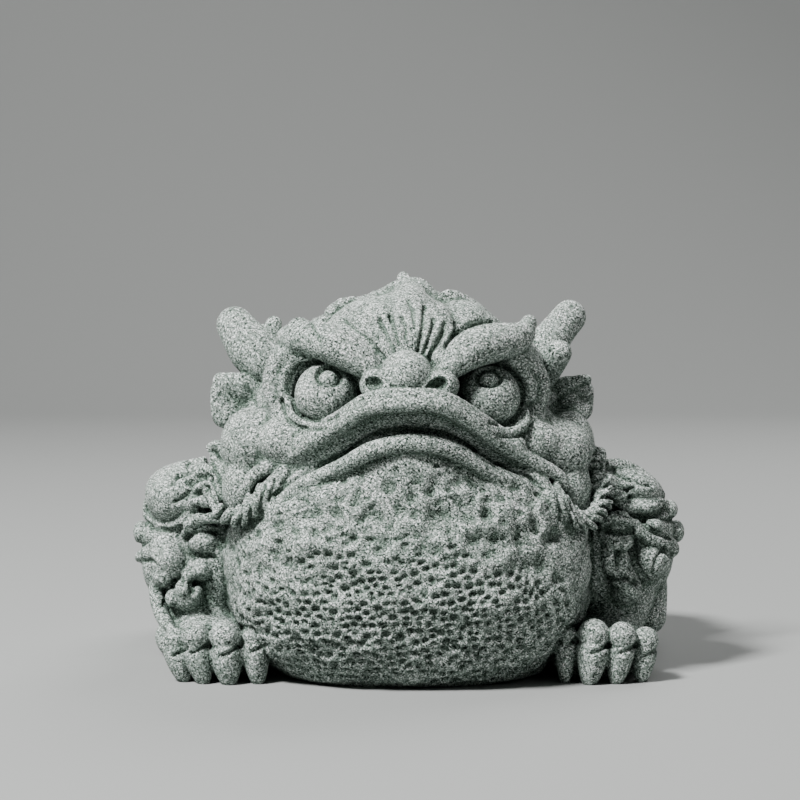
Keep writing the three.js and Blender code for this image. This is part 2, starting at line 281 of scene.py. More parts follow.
def surface_of(mesh):
    """A mesh's surface, to measure from and to look for along a line."""
    shape = bmesh.new()
    shape.from_mesh(mesh)
    surface = BVHTree.FromBMesh(shape)
    shape.free()
    return surface


throat = []
lump(throat, (0.6, -22, 28), (45.8, 36, 34.5), fullness=2.4, rings=60)
for centre, radii in (((0.6, -31, 45), (31, 25.4, 14)), ((0.6, -34, 50), (25, 21.4, 13.4)),
                      ((0.6, -38, 54.6), (14, 17.8, 8.4))):
    lump(throat, centre, radii, rings=30)
throat = fused(throat, voxel=0.9e-3, softening=14)
throat_surface = surface_of(throat)
figure.append(throat)

# The head: a broad skull and muzzle, two soft cheek lobes over each corner of the mouth, and
# the jowls under them. The eye sockets are hollowed out with a round tool.
EYES = {-1: (-19.1, -40.2, 70.2), 1: (19.7, -39.4, 69.6)}
SOCKET_RADII = (8.8, 9.5, 8.7)
RIDGES = {
    -1: ((-22.7, -38, 81.2, 3), (-27, -36.4, 81, 3.5), (-30.4, -34.4, 77.6, 3.5), (-31.9, -33.6, 72.7, 3.5),
         (-31.4, -34, 68.4, 3.1), (-30.2, -36, 65, 2.6)),
    1: ((25.6, -37.4, 79.6, 3), (29.6, -35, 77, 3.3), (32, -33.6, 73, 3.3), (32, -33.6, 69.6, 3.1),
        (31, -35, 66, 2.6), (29.6, -37, 63.2, 2.2)),
}
CHEEKS = {
    -1: (((-37.6, -29, 57.8), (8.2, 9.8, 8.8)), ((-28.6, -37, 58.8), (7.8, 7.6, 6.2))),
    1: (((40.6, -23, 56.6), (6.4, 10, 8.8)), ((35, -30.4, 56), (11, 9.6, 8.2)),
        ((29.4, -37.4, 58.6), (8.6, 5.4, 5.6))),
}
MUZZLE = ((10, -45, 62, 4.4), (18, -42, 58.6, 4.4), (26, -38.4, 55.6, 4.4), (34, -34, 53, 4.4))

head = []
lump(head, (0, -8, 65), (41, 34, 21), rings=40)
lump(head, (0.3, -26, 62), (37, 25.8, 11.4), rings=36)
for side in SIDES:
    lump(head, on_side(side, (35, -12, 58)), (11.2, 14, 12))
    for centre, radii in CHEEKS[side]:
        lump(head, centre, radii)
    lump(head, on_side(side, (39.4, -30, 46.4)), (6.2, 9, 9.4))
    lump(head, on_side(side, (32, -28, 50)), (9, 11, 8))
    lump(head, on_side(side, (26, -27, 76.5)), (8, 7.6, 8))
    lump(head, on_side(side, (22, -32, 81)), (9, 7, 6))
    roll(head, row_on_side(side, MUZZLE))
    roll(head, RIDGES[side])
head = fused(head, voxel=0.6e-3, softening=8)

sockets = []
for side in SIDES:
    x, y, z = EYES[side]
    lump(sockets, (x + side * 0.4, y - 6, z - 0.3), SOCKET_RADII)
figure.append(cut_out(head, sockets))

# The eyeballs: smooth balls with a round hole for the iris and a knob left standing in it for
# the pupil. The gaze is up and a little inwards, so that the pupils meet the brows.
EYE_RADIUS = 7.9
IRIS_RADII = (3.9, 3.3, 3.6)
PUPIL_RADIUS = 2.35
PUPIL_DEPTH = 2.3
GAZES = {-1: (0.09, -0.72, 0.68), 1: (0.02, -0.68, 0.73)}

for side in SIDES:
    ball = []
    lump(ball, EYES[side], (EYE_RADIUS,) * 3, rings=40)
    ball = fused(ball, voxel=0.42e-3, softening=0)
    gaze = Vector(GAZES[side]).normalized()
    iris = []
    lump(iris, Vector(EYES[side]) + gaze * EYE_RADIUS, IRIS_RADII, turn=(-45, 0, 0))
    figure.append(cut_out(ball, iris))
    lump(figure, Vector(EYES[side]) + gaze * (EYE_RADIUS - PUPIL_DEPTH), (PUPIL_RADIUS,) * 3)

# The rims round the eyes: thin lids that cup the balls from below, each with a crisp edge in
# front of a softer inner slope, walls and rims at the outer corners, and fuller flesh around.
LIDS_AND_SLOPES = (
    ((-28.9, -37.8, 69.4, 0.7), (-28.3, -39.6, 67.2, 1), (-27.4, -41.4, 65.3, 1.1), (-25.6, -43.4, 64, 1.15),
     (-22.8, -45, 63.4, 1.15), (-19.4, -46.6, 63.5, 1.05), (-15.6, -48.4, 65.2, 0.8)),
    ((-27.6, -37.8, 68.6, 1), (-26.8, -39.2, 66.2, 1.1), (-24.8, -41, 64.4, 1.2), (-22, -42.6, 63.6, 1.2),
     (-18.6, -44.2, 63.6, 1.1)),
    ((28.6, -38.6, 67.2, 0.7), (29, -40, 65.6, 0.95), (28.9, -41.6, 64, 1.1), (27.6, -43.4, 62.6, 1.15),
     (25.2, -45, 61.8, 1.15), (22.2, -46, 62, 1.1), (18.4, -47, 63.7, 1), (15.4, -48.4, 65.2, 0.8)),
    ((27.8, -38.4, 67.4, 0.9), (27.6, -39.8, 65.4, 1.1), (26.4, -41.2, 63.6, 1.2), (23.4, -42.6, 62.6, 1.2),
     (20, -44, 63, 1.1)),
)
SOCKET_WALLS = (
    ((-24.6, -36.6, 77.4, 1.2), (-27.2, -36, 75, 1.4), (-28.2, -35.8, 72, 1.4), (-28.2, -36, 69, 1.3)),
    ((25.4, -36.6, 76, 1.2), (27.8, -36, 73.4, 1.4), (28.6, -36, 70.4, 1.4), (28.4, -36.4, 68, 1.2)),
)
SOCKET_RIMS = (
    ((-23.4, -39.4, 79.6, 1.3), (-26.6, -38.2, 79, 1.5), (-28.9, -37, 76, 1.6), (-29.9, -36.4, 72.6, 1.6),
     (-29.8, -36.6, 69.4, 1.3)),
    ((26, -38.8, 77.6, 1.3), (28.5, -37.6, 75.6, 1.5), (30.1, -36.8, 72.4, 1.6), (30.1, -36.8, 69.4, 1.3)),
)
FLESH_BELOW = ((31, -33.6, 66.4, 1.8), (28.4, -37, 62.2, 2.4), (23, -40.4, 59.8, 2.6), (16, -42.6, 61, 2.6),
               (11, -44.4, 63.4, 2.4))
FLESH_ABOVE = ((25, -33.4, 80, 3), (18, -36.8, 80.6, 3.6), (11, -40.6, 77.4, 3.4), (7.6, -43, 72, 3))
LOWER_BY = {-1: 0, 1: 1.4}

for line in LIDS_AND_SLOPES + SOCKET_WALLS + SOCKET_RIMS:
    roll(figure, line)
for side in SIDES:
    below = [(x, y, z - LOWER_BY[side], half) for x, y, z, half in FLESH_BELOW]
    roll(figure, row_on_side(side, below))
    roll(figure, row_on_side(side, FLESH_ABOVE))

# The scowling brows: thick rolls that hang over the eyes and run down to the nose. The left
# one humps at its outer end, and the right one ends in a knob.
roll(figure, ((-29, -33, 83.6, 3), (-26.3, -37, 83.9, 4), (-22.5, -40.6, 83.8, 4.4),
              (-18.3, -43.4, 82.7, 4.7), (-14.2, -44.4, 80.8, 4.6), (-10.5, -45.8, 78.4, 3.8),
              (-7.6, -46.6, 76, 2.4)))
lump(figure, (-25.9, -36.6, 85.8), (3.1, 3.8, 3.1))
roll(figure, ((29.4, -35.6, 86.8, 2.1), (28.1, -37.6, 84.7, 3.2), (24.6, -40.4, 83.4, 4.3),
              (19.7, -43.2, 82.7, 4.9), (15.3, -45.2, 81.3, 4.8), (11.6, -46.8, 78.6, 3.8),
              (8.8, -47.4, 76.2, 2.4)))
lump(figure, (29.8, -35.8, 87.4), (2, 2.4, 2.1))

# The snub nose between the brows: a round bulb and two flared nostrils, shaped as one piece
# and then hollowed with a small round tool.
nose = []
lump(nose, (0, -47, 75.3), (6.4, 8.2, 6.1))
lump(nose, (-7.2, -49, 73.1), (4, 4.8, 4))
roll(nose, ((-6, -50.4, 73, 3), (-3.8, -51.6, 72.6, 2.4), (-1.6, -51.6, 71.4, 1.9)))
lump(nose, (8.4, -49, 73), (4.3, 4.8, 4))
roll(nose, ((7, -50.6, 72.6, 3), (4.8, -51.6, 72.2, 2.4), (2.6, -51.8, 71.4, 2)))
nose = fused(nose, voxel=0.42e-3, softening=3)
nostrils = []
lump(nostrils, (-8, -53.4, 73.8), (2.6, 2.6, 1.8), turn=(0, 14, 0))
lump(nostrils, (7.2, -53.6, 73.3), (2.9, 2.9, 1.9), turn=(0, -28, 0))
figure.append(cut_out(nose, nostrils))

# The mouth: a heavy drooping upper lip whose rim stands out like a shelf over a hollow
# underside, with ends that curl down over the rope, and a thin lower lip pressed against it.
LIP_RIM = ((-31.7, -41, 55), (-25.4, -45.4, 58.6), (-20.5, -49, 61.8), (-15.7, -53, 65), (-9.7, -57, 69.1),
           (-5, -58.4, 70.2), (0.8, -59, 70.4), (7.9, -58, 70), (13.8, -55, 66.9), (17.9, -52.6, 64),
           (22.3, -49, 60.6), (27.2, -46, 57.4))
LIP_LINE = ((-31.7, -41, 49), (-25.5, -44, 51.4), (-20.6, -46, 53.6), (-14.6, -48.4, 56.4),
            (-8.6, -51.4, 60.9), (-3.9, -52.8, 62.4), (0.9, -53, 62.7), (8, -52.4, 61.9), (13.9, -50.2, 58.9),
            (17.4, -48.4, 56.6), (21.2, -46.6, 54), (27.2, -44, 51.6))

lip = []
roll(lip, ((-38.2, -40, 46.6, 1.1), (-38.2, -40, 48.6, 1.6), (-36.6, -40, 50.8, 1.9),
           (-34, -39.8, 52.4, 2.1), *((x, y + 1.5, z - 1.3, 2.1) for x, y, z in LIP_RIM),
           (32.6, -42.4, 53.2, 2), (35.6, -41.4, 51.6, 1.8), (37.8, -40.8, 49.8, 1.6),
           (38.6, -40.4, 47.6, 1.1)))
for share in (0.16, 0.28, 0.42, 0.56, 0.7, 0.84, 0.96):
    inset = 1.8 + 1.2 * share
    between = [[(1 - share) * outer + share * inner for outer, inner in zip(rim_point, line_point)]
               for rim_point, line_point in zip(LIP_RIM, LIP_LINE)]
    roll(lip, [(x, y + inset, z + 1.5, 2.4) for x, y, z in between])
figure.append(fused(lip, voxel=0.42e-3, softening=6))
roll(figure, ((-34.8, -43, 41, 0.9), (-30.8, -44, 45.2, 1.5), (-25.6, -46.4, 48.8, 1.8),
              (-20.5, -48.4, 51.3, 1.9), (-14.5, -51, 54.3, 2.1), (-8, -53.6, 58, 2.3),
              (0.9, -54.6, 59.8, 2.4), (8.5, -53.6, 58.8, 2.3), (14.5, -51.4, 56, 2.2),
              (20.3, -49, 52.3, 2.1), (26, -46.4, 49.5, 2.1), (30.7, -44.2, 46.6, 1.9),
              (33.6, -43.8, 43.2, 1.4), (34.8, -43, 41, 1)))

# The crest: a peaked mass of mane that rises from the nose, with a second lobe on its right
# and a lock that curls up behind it on its left. Narrow strands fan up its front.
crest = []
lump(crest, (-4.5, -22, 79), (17.8, 21, 15.2), rings=30)
roll(crest, ((0.6, -38, 81, 9), (0.4, -28, 88, 7.6), (0.8, -17, 93.4, 4.4)))
roll(crest, ((4.4, -36, 79.4, 7.4), (6, -28, 86, 6.4), (6.4, -20, 88, 5)))
roll(crest, ((-10, -19, 89.6, 3.4), (-5.6, -18, 92.2, 3.4), (-2, -16, 94.8, 3)))
roll(crest, ((0.4, -16.4, 96, 2.6), (3, -16.4, 96.2, 2.4), (5, -17, 94.4, 2.5), (6.4, -17.6, 92.4, 2.5),
             (7.4, -18, 89, 3)))
figure.append(fused(crest, voxel=0.8e-3, softening=4))
roll(figure, ((0, -17, 94.6, 3), (-0.6, -14, 97.4, 1.9), (-0.7, -13, 98.5, 1.4)))
lobe = []
lump(lobe, (13.4, -20, 82), (10.6, 14, 10.8), turn=(0, 20, 0))
roll(lobe, ((9.3, -18.6, 93.4, 1.5), (10.8, -18.4, 93.8, 1.6), (14, -17.4, 92.8, 1.7),
            (16.6, -16.4, 91.2, 1.7), (19.4, -15.4, 89.1, 1.7), (22, -14.4, 86.4, 1.7)))
lump(lobe, (8.4, -20, 86.4), (3.4, 6, 5))
figure.append(fused(lobe, voxel=0.42e-3, softening=3))
roll(figure, ((-22.4, -19, 83.4, 1.8), (-20.7, -19, 86.2, 1.7), (-18.3, -19, 89.7, 1.7),
              (-15.6, -19, 91.7, 1.6), (-13, -18.4, 92.3, 1.3)))
roll(figure, ((12, -28, 87.6, 0.8), (13.7, -26.4, 89.8, 0.9), (14.5, -24.6, 91.2, 0.7)))
lump(figure, (7.8, -42.8, 78.6), (2.8, 3.6, 3.6))
roll(figure, ((6, -41, 80, 4), (7, -37, 85, 3.8), (7.4, -33, 89, 3.2)))
STRANDS = (
    ((-5.1, -39, 89.5), (-4, -42.4, 86), (-2.7, -46, 82.1)),
    ((-2.2, -38, 89.7), (-1.9, -41.8, 86), (-1.4, -45.6, 82.2)),
    ((0.9, -36, 90), (1.1, -41.4, 86), (0.9, -45.8, 82.1)),
    ((2.6, -31.6, 93.5), (3.3, -37.6, 88.8), (2, -45.6, 82.6)),
    ((5.8, -34, 90.9), (5, -41, 85.7), (3.4, -46.4, 80.8)),
    ((7.6, -36.4, 89.3), (7.2, -41, 85.3), (4.6, -46.4, 80.5)),
    ((10.5, -36, 88.4), (9.7, -40, 84.9), (6.6, -45.6, 80.4)),
)
for tip, middle, root in STRANDS:
    halves = ((tip, 1.1), (middle, 1.3), (root, 0.8))
    roll(figure, [(x, y + 0.5, z, half) for (x, y, z), half in halves])

# The rest of the mane: a low cap on the skull, and thick locks laid over it in clay, which
# sweep back from the crest and taper to an end on the nape.
LOCK_HALVES = (3.4, 4.6, 4.2, 1.1)
LOCKS = (
    ((0, -12, 93.4), (-1.6, 2, 90.4), (1.4, 16, 81.8), (0, 28, 74.2)),
    ((5, -11, 92.4), (7.4, 3, 89.2), (6.6, 16, 80.6), (9, 27, 72.6)),
    ((10, -11, 90.4), (15.4, 2, 86.6), (15.6, 14, 78.6), (18.4, 24, 70.4)),
    ((15, -11, 87.6), (22.4, 0, 82.6), (24, 11, 75.4), (27.6, 20, 67.2)),
    ((18, -11, 84.4), (28.4, -3, 77.4), (31.6, 7, 70.6), (34.6, 15, 63.4)),
)

mane = []
lump(mane, (0, 0, 73), (29, 24, 17), rings=30)
figure.append(fused(mane, voxel=1e-3, softening=2))
for lock in LOCKS:
    for side in SIDES if lock[0][0] else (1,):
        roll(figure, [(*on_side(side, point), half) for point, half in zip(lock, LOCK_HALVES)])

# The horns: a blunt main tine on each side, with short second tines beside it, rolled by hand
# and set into the sides of the skull behind the brows.
TINES = (
    ((-31, -14, 74, 7), (-38, -14, 79.4, 6.4), (-41.4, -11.4, 83.4, 5.4), (-43.9, -8, 86.6, 4.7)),
    ((-31.6, -16.6, 72, 4), (-37, -18, 77.4, 3.6)),
    ((-34.6, -14, 81, 3.2), (-33.3, -13, 86.6, 2.2)),
    ((31, -13, 75, 7), (36, -11, 81.4, 5), (39.2, -8, 85.2, 4.5), (41.9, -5.6, 88.3, 4.4)),
    ((31, -18, 72, 5.4), (34.9, -21, 75.8, 4.2), (38, -24, 79.8, 3.3)),
)

horns = []
for tine in TINES:
    roll(horns, tine)
figure.append(fused(horns, voxel=0.6e-3, softening=2))

# The ears: leaves that stand out from the sides of the head, folded along the middle so that
# the lower half turns down into shadow.
ears = []
roll(ears, ((-36.5, -17, 69.6, 3.6), (-41, -17.8, 70.9, 3.6), (-44.6, -17.8, 71.6, 3.1),
            (-47, -17.4, 72.6, 2)), squash=0.55)
roll(ears, ((-38, -16, 65.2, 3.4), (-42, -17, 64.8, 3.8), (-45.4, -17.4, 63.6, 3.4),
            (-47, -17.4, 66.4, 2.3), (-47.6, -17.2, 70, 1.8)), squash=0.55)
lump(ears, (-43, -16.2, 67.8), (6.2, 2.8, 6))
roll(ears, ((34, -17, 70.2, 2), (39.8, -17.8, 71.5, 1.9), (43.6, -18, 72.4, 1.7),
            (45.8, -17.6, 72.9, 1.3)), squash=0.7)
roll(ears, ((36.3, -17, 65.6, 3.2), (39.8, -18, 65.2, 3.6), (43.3, -18.2, 65.2, 3.5),
            (45, -18, 67.4, 2.2), (45.8, -17.6, 70.6, 1.5)), squash=0.7)
lump(ears, (41, -16.6, 68.6), (6, 2.8, 5))
figure.append(fused(ears, voxel=0.42e-3, softening=2))

# The rope: three strands twisted together. It leaves the mouth's corners, lies on the throat,
# goes round the jowls and up over the shoulders, and ends behind them.
ROPE = (
    (29.6, -42, 51, 2.4), (32.6, -43.4, 47.6, 2.7), (36, -43.4, 43.8, 2.7), (39.4, -42, 41.2, 2.3),
    (43, -39.6, 40.4, 1.8), (46, -36.8, 41.6, 1.4), (47.4, -33.4, 44.6, 1.4), (47.4, -29, 47.6, 1.6),
    (47.2, -24.4, 51.4, 1.8), (47.6, -22, 54, 1.6),
)
LEFT_TURNS = (
    ((-30.6, -42.6, 50.9, 0.9), (-30.8, -44.4, 48.8, 0.9), (-31.6, -44, 46.8, 0.8)),
    ((-32.7, -43.2, 49.6, 1), (-33.3, -45.2, 46.9, 1.05), (-34.2, -44.4, 43.6, 0.9)),
    ((-35.1, -42.8, 48.2, 1.1), (-35.9, -45.6, 45.4, 1.35), (-36.3, -45, 42.4, 1.2), (-36, -43.8, 40.8, 0.9)),
    ((-38, -42.2, 45.8, 1), (-38.5, -44.8, 43.2, 1.25), (-38.7, -44.4, 40.7, 1.1), (-39.3, -43, 39.2, 0.8)),
    ((-40.3, -41.2, 43, 1), (-40.9, -43.2, 41.2, 1.15), (-41.5, -42.4, 39, 1)),
    ((-42.4, -40, 42.5, 0.9), (-43.3, -41.4, 41.2, 1.1), (-44.5, -40, 39.4, 0.9)),
    ((-45, -38.2, 43, 0.9), (-46, -39.4, 41.8, 1.05), (-47.1, -37.8, 40.2, 0.8)),
    ((-48.6, -23.6, 56, 1.3), (-47, -24.6, 56.9, 1.3), (-45.4, -25.8, 55.4, 1.1), (-44.9, -28, 53.6, 1.05),
     (-44.2, -30, 50.9, 0.8)),
    ((-48, -24.6, 54.8, 1), (-46.7, -26.8, 52.6, 1.1), (-45.6, -29, 49.8, 1), (-45.2, -30.8, 47.6, 0.8)),
    ((-48.7, -27, 51.6, 0.9), (-47.6, -29, 49.8, 1.1), (-46.1, -31, 47.2, 1.05), (-45.4, -32, 45.2, 0.8)),
    ((-49.2, -29.6, 48.2, 0.9), (-47.7, -31.4, 47, 1.1), (-46.6, -32.8, 45, 1), (-46.1, -33.4, 43.4, 0.8)),
    ((-49.6, -31, 45.8, 0.9), (-47.9, -33.2, 44.6, 1.05), (-46.4, -35, 42.9, 0.95)),
)
RIGHT_TURNS = (
    ((33.2, -42.6, 50, 1.1), (34.9, -45.4, 46.2, 1.35), (35.8, -45, 42.9, 1.2), (35.9, -44, 41.2, 0.9)),
    ((36.1, -42, 48.5, 0.95), (37.6, -44.6, 45.5, 1.2), (38.2, -44.2, 42.1, 1.15), (37.9, -43.2, 39.8, 0.85)),
    ((38.8, -41.2, 45.4, 0.8), (39.9, -43.4, 42.2, 1.1), (41, -42.8, 39.2, 1.1), (41.7, -41.6, 37.7, 0.8)),
    ((40.9, -40, 42.8, 0.8), (42.4, -41.8, 40.1, 1.1), (43.5, -40.6, 37.7, 0.95)),
    ((43, -39, 41.3, 0.8), (44.5, -40.4, 39.2, 1.1), (45.7, -39.2, 37.9, 0.9)),
    ((44.2, -38.2, 41.5, 0.8), (45.9, -39.2, 40.5, 1), (47.3, -38, 39.7, 0.85)),
    ((44.7, -36.8, 42, 0.8), (46.6, -37.6, 42, 1), (48.4, -36.6, 41.4, 0.8)),
    ((45.5, -35.2, 43, 0.8), (47.7, -36, 43.6, 1.05), (50, -34.8, 43.4, 0.85)),
    ((46.4, -33.6, 44.6, 0.8), (48.5, -34.2, 46, 1.05), (50.3, -33, 46.9, 0.8)),
    ((47.4, -31.2, 46.6, 0.8), (49.3, -31.6, 48.2, 1.1), (50, -30.4, 49.4, 0.9)),
    ((45.3, -25.6, 49, 0.7), (46.7, -26.4, 50.4, 1), (48.3, -26, 49.8, 1), (49.1, -25.6, 48.5, 0.7)),
    ((44.8, -24.8, 50.8, 0.7), (46.5, -25.6, 52.2, 1), (48.2, -25.2, 51.9, 1), (48.9, -24.8, 50.3, 0.7)),
    ((45.2, -23.8, 52.6, 0.7), (46.8, -24.6, 53.9, 1), (48.4, -24.2, 53.7, 1), (49, -23.8, 52.1, 0.7)),
    ((45.8, -22.6, 54.4, 0.8), (47.1, -23.2, 55.3, 1), (48.8, -22.8, 55, 1), (49.3, -22.6, 53.6, 0.8)),
)

for side in SIDES:
    roll(figure, row_on_side(side, ROPE))
for turn in LEFT_TURNS + RIGHT_TURNS:
    roll(figure, turn)

# The curled tufts that cover the shoulders: a broad leaf over the top, and curls, hooks and
# small leaves heaped under it down to the elbow.
tufts = []
lump(tufts, (-56.6, -13.4, 44), (9.2, 14.6, 7.5), turn=(0, -15, 0), fullness=2.5)
lump(tufts, (-49.8, -18, 44), (5, 8.4, 8))
lump(tufts, (-50.6, -22.6, 45.8), (4.6, 4.4, 6.4))
lump(tufts, (-51.6, -23.4, 44.8), (4.8, 4.8, 7.4), fullness=2.5)
lump(tufts, (-56.4, -13, 28), (10.5, 12.8, 12.4), fullness=2.6)
lump(tufts, (-50, -17, 34), (5.4, 9.6, 8))
lump(tufts, (57.2, -13, 46), (8.2, 12, 4.6), turn=(0, 24, 0))
lump(tufts, (50.4, -18.4, 43.4), (5, 8, 7))
lump(tufts, (57, -12, 31), (11, 12.8, 14), fullness=2.5)
lump(tufts, (50.6, -16.6, 33), (5.4, 9.4, 9))
figure.append(fused(tufts, voxel=0.6e-3, softening=4))
LEFT_LEAVES = (
    ((-59, -22.6, 28), (4.8, 6, 5.6), -20), ((-60.3, -23, 24), (3.2, 5, 3.2), 0),
    ((-50, -24.6, 32.9), (4.2, 4.8, 3.8), 0), ((-51, -25.2, 26.1), (3.7, 5, 3.2), 15),
    ((-53.9, -26.4, 24.6), (1.9, 3.6, 1.9), 0), ((-55.1, -28, 21.2), (2.2, 4, 2.7), 0),
    ((-51.7, -28.4, 20.2), (1.5, 3.8, 1.9), 0), ((-58, -26.8, 18.9), (1.8, 4, 2.2), 0),
    ((-54.4, -26.4, 18.8), (4.4, 4.6, 3.2), 0), ((-50.6, -25.4, 35.6), (3.8, 3, 2.6), 0),
    ((-64.8, -16, 24.4), (1.6, 4, 2.6), 0), ((-66.8, -13.6, 33.8), (2.3, 5, 2.9), 0),
)
LEFT_TUFTS = (
    ((-65.6, -14, 38.4, 1.1), (-65.4, -14, 41, 1.2), (-63.4, -15, 45, 1.2), (-60.2, -17, 48.6, 1.2),
     (-56, -19, 51, 1.2), (-50.4, -20, 52.6, 1.1)),
    ((-65.6, -14.6, 38.2, 1.1), (-63.1, -19.4, 36.4, 1.2), (-59.1, -23.4, 36.4, 1.4),
     (-55.8, -25.6, 37.9, 1.3), (-53.6, -27, 40.5, 0.9)),
    ((-48.4, -26.8, 50, 1.4), (-50.2, -26.6, 50.6, 1.8), (-52.3, -25.8, 50, 1.8), (-55.4, -24.4, 48.6, 1.4),
     (-58, -22.8, 46.6, 0.9)),
    ((-48.4, -28.4, 47.6, 1.4), (-50.3, -28, 47, 1.8), (-52.2, -27, 46, 1.8), (-55.2, -25.4, 44.4, 1.2)),
    ((-47.6, -30, 43, 1.5), (-49.7, -29.2, 43.3, 2), (-52, -27.8, 42.8, 1.9), (-54.6, -26, 41.4, 1.3)),
    ((-55.1, -25.4, 34.8, 1), (-54, -26.6, 37, 1.4), (-51, -28.2, 38.8, 1.7), (-48.4, -29.6, 39.2, 1.6),
     (-46.3, -30.8, 39, 1.2)),
    ((-60, -22.6, 29.9, 3.2), (-63.5, -20, 29.4, 2.4), (-66.2, -17.4, 28.3, 1.8), (-67.6, -15, 27.3, 1.2)),
    ((-67.7, -13, 32, 1.2), (-65.5, -16.4, 33.9, 1.6), (-62.5, -19.8, 34.4, 1.4)),
    ((-61.6, -21.6, 25, 1.5), (-62.5, -22.4, 21.5, 1.9), (-61.9, -24.4, 17.4, 2), (-60.2, -27.4, 13.8, 1.9),
     (-57.6, -30.8, 11, 1.4)),
)
RIGHT_LEAVES = (
    ((58.6, -20.6, 41.3), (5, 5.4, 2.3), 0), ((66.7, -14, 39.6), (2.1, 4.4, 2.4), 0),
    ((68.8, -12, 33.8), (1.9, 5, 2.8), 0), ((67, -16.4, 29.9), (2, 4.4, 2.2), 0),
    ((61.3, -22, 36.8), (3.2, 4.4, 1.9), 10), ((52.6, -25.4, 27.6), (3.4, 3.5, 4), 0),
    ((54.2, -26.4, 24.4), (2.4, 2.6, 2.2), 0), ((54.6, -26.8, 20.2), (3.5, 4, 3), 0),
    ((52.4, -24.8, 36), (4, 3.6, 3), 0), ((56.4, -24.6, 35.4), (2.6, 3.2, 2.8), 0),
    ((60.6, -22.4, 27.4), (4.6, 5.6, 4.8), 20), ((63.9, -20.8, 27.2), (2.4, 5, 3.6), 15),
)
RIGHT_TUFTS = (
    ((49.6, -18.6, 51.2, 1.6), (54.2, -17.6, 51, 1.8), (59, -15.6, 48.6, 1.8), (62.6, -13.6, 45.4, 1.8),
     (64.4, -12.4, 43, 1.5)),
    ((53.6, -22, 46.4, 1.6), (57, -20.6, 46.2, 2.4), (61.4, -17, 44.4, 1.8)),
    ((51, -25.6, 42.4, 0.7), (53.5, -25, 41.8, 1.5), (56.6, -24.2, 41.3, 1.9), (61.4, -21.6, 41.8, 1.9),
     (65, -17.6, 41.5, 1.2)),
    ((56.9, -26, 37.4, 1.2), (59.7, -25.2, 34.3, 1.8), (63.3, -23.2, 32.4, 1.9), (66.8, -18.6, 31.2, 1.6)),
    ((48.2, -27, 37.2, 0.8), (50.6, -28.4, 38.9, 1.6), (53.3, -28.2, 39.2, 1.8), (56.1, -26.8, 37.5, 1.2)),
    ((49, -26.8, 34.6, 1.4), (51.2, -27.6, 33.2, 2.2), (53.8, -27.4, 32.8, 2.4), (55.6, -26.4, 34.4, 1.6)),
    ((52, -27, 44.6, 1.5), (53.5, -26.2, 44.2, 1.6)),
    ((45.6, -28.4, 44.2, 0.9), (48.3, -29, 45.7, 1.1), (50.4, -28, 44.8, 0.7)),
    ((45.4, -30, 42.2, 0.9), (48.2, -30.4, 42.9, 1), (50.2, -29.6, 41.8, 0.7)),
    ((44.6, -31.4, 40.2, 0.9), (47.4, -31.4, 40.9, 0.9), (49.2, -30.6, 40, 0.7)),
    ((50, -27.8, 30.6, 1.5), (50.2, -28.2, 28.6, 1.9), (50.8, -28.2, 26.6, 1.9), (52, -27.8, 25, 1.5)),
    ((53.9, -27.4, 30, 1.1), (54, -27.8, 28.3, 1.3), (53.6, -27.8, 26, 1.3)),
    ((52.2, -29.4, 23.4, 1.5), (54.2, -30.2, 21.9, 1.8), (56.2, -29.8, 20.1, 1.6)),
    ((55.2, -26.2, 26.2, 1.1), (56.6, -25.8, 24.1, 1.1), (57.5, -26.4, 21.6, 1.1), (57.3, -27, 19.8, 0.9)),
    ((61, -12, 27, 5), (61.4, -14, 19, 5), (60.8, -16.6, 11.4, 5)),
)

for centre, radii, turn in LEFT_LEAVES + RIGHT_LEAVES:
    lump(figure, centre, radii, turn=(0, turn, 0))
for tuft in LEFT_TUFTS + RIGHT_TUFTS:
    roll(figure, tuft)

# The front feet: four toes on each, a round knuckle over a broad claw. The claw comes to a
# ridge down its front and to a blunt point on the ground. Each toe has its knuckle, the half
# width of its claw, and the place of the claw's tip across the figure.
TOES = {
    -1: (((-56.2, -38, 10.1, 3.1), 3.3, -53.8), ((-51.3, -40.5, 11.6, 3.5), 3.6, -48.9),
         ((-43.9, -41.5, 11.7, 4), 4, -42.9), ((-36.8, -40.5, 11.6, 3.2), 3.5, -36)),
    1: (((38.9, -39.5, 12.1, 2.6), 2.7, 38.7), ((45.5, -41.5, 12.2, 3.9), 3.9, 44.3),
        ((52.4, -40.5, 11.6, 3.5), 3.4, 50.8), ((58.4, -38, 10.2, 3.3), 3, 57.2)),
}

for side in SIDES:
    for (x, y, z, half), claw_half, tip in TOES[side]:
        roll(figure, ((x, y + 5, z - 1, half * 0.95), (x, y, z, half)))
        reach = z - half + 1
        lean = math.degrees(math.atan2(x - tip, reach))
        lump(figure, (x, y + 0.9, reach - 0.6), (claw_half, claw_half + 0.7, reach + 1),
             turn=(-6, lean, 0), fullness=1.75, top=0.2)

# The warts of the back and haunches: small pats of clay in rough rows down both sides of the
# spine, smaller and flatter towards the ground. Each row has an azimuth and its elevations.
GROWS_EVERY = 26
SWAY = 3
BACK_WARTS = ((0, (60, 48, 36, 25)), (11, (54, 42, 30)), (22, (60, 48, 36, 24)), (34, (54, 42, 29)),
              (46, (62, 48, 36)), (58, (54, 42)), (70, (60, 48)))
HAUNCH_WARTS = ((20, (52,)), (38, (64, 44)), (56, (54, 34)), (74, (64, 44, 24)), (92, (54, 34)), (110, (44,)))
dice = np.random.default_rng(7)


